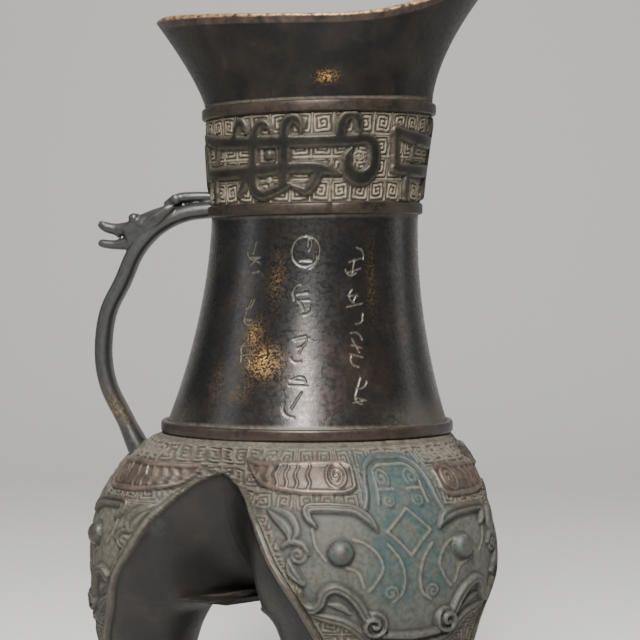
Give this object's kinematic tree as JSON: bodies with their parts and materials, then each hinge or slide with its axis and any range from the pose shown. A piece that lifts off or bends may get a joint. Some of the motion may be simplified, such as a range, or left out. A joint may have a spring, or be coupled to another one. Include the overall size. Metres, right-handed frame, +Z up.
{
  "type": "jue wine vessel",
  "caption": "Hollow cast bronze wine vessel on pouch-shaped legs, with a flared mouth, pouring spout, strap handle with a beast head, and cast relief.",
  "frame": {"origin": "on the floor under the middle of the whole vessel", "axes": "+Z up, +X towards the spout, -X towards the handle"},
  "size_m": [0.1546, 0.16, 0.3056],
  "materials": {
    "bronze": "aged dark patina, satin"
  },
  "bodies": {
    "root": {"vessel": "bronze"}
  },
  "joints": []
}
